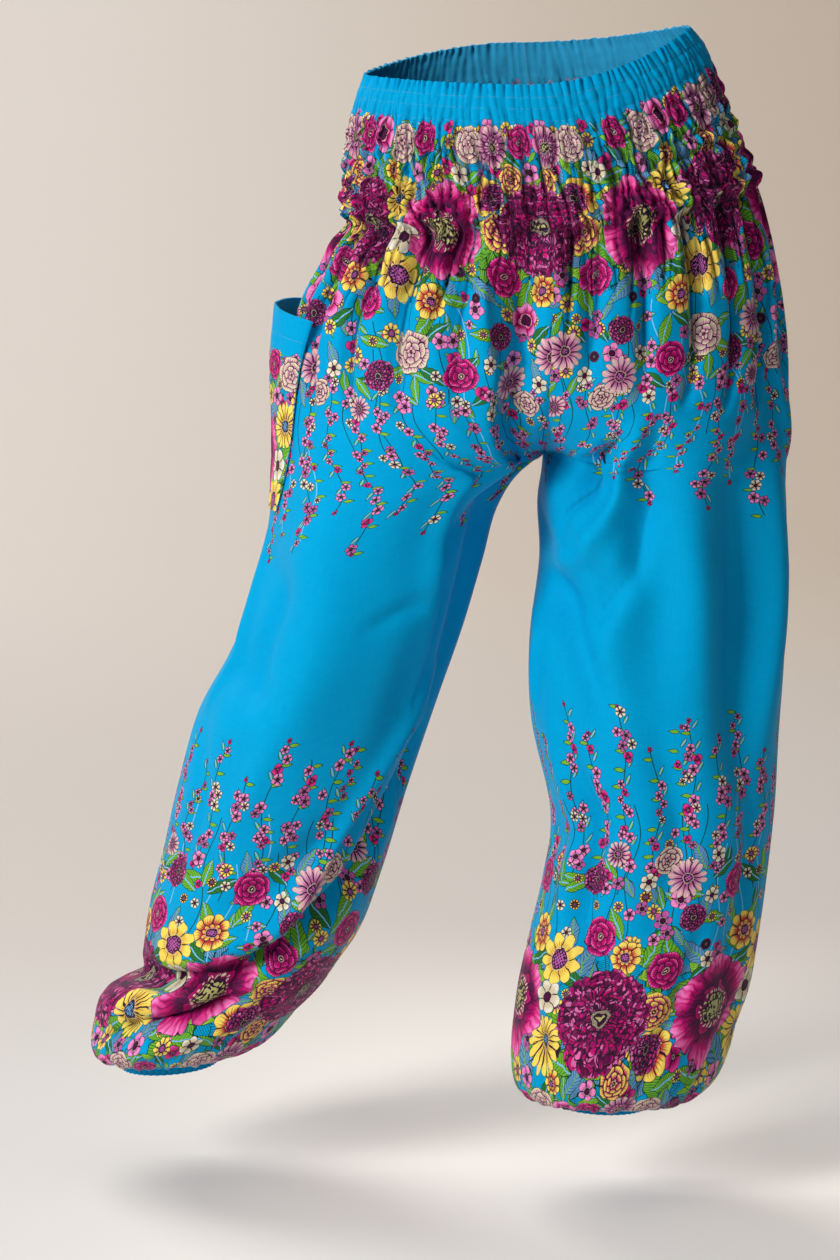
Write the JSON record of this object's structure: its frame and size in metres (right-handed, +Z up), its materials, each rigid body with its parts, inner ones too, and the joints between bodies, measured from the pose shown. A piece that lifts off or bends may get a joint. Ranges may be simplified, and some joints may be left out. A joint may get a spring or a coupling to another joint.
{
  "type": "harem pants",
  "caption": "Loose harem trousers worn hollow: smocked elastic waist, full legs gathered at the ankles, patch pocket on one hip.",
  "frame": {"origin": "centre of the waist opening at its edge, where the wearer's waist holds the garment up", "axes": "+Z up, +Y to the wearer's back, +X to the wearer's left; the front faces -Y"},
  "size_m": [0.6492, 0.3268, 1.0024],
  "materials": {
    "smocking": "soft rayon, shirred with elastic thread, floral border print on blue",
    "leg": "soft rayon with a low sheen, blue with a floral border print at top and bottom",
    "pocket": "soft rayon with a floral border print",
    "hem": "soft rayon, gathered on elastic"
  },
  "bodies": {
    "root": {"hem_casing_left": "hem", "hem_casing_right": "hem", "leg_back_left": "leg", "leg_back_right": "leg", "leg_front_left": "leg", "leg_front_right": "leg", "pocket_right": "pocket", "waist_back_left": "smocking", "waist_back_right": "smocking", "waist_front_left": "smocking", "waist_front_right": "smocking"}
  },
  "joints": []
}
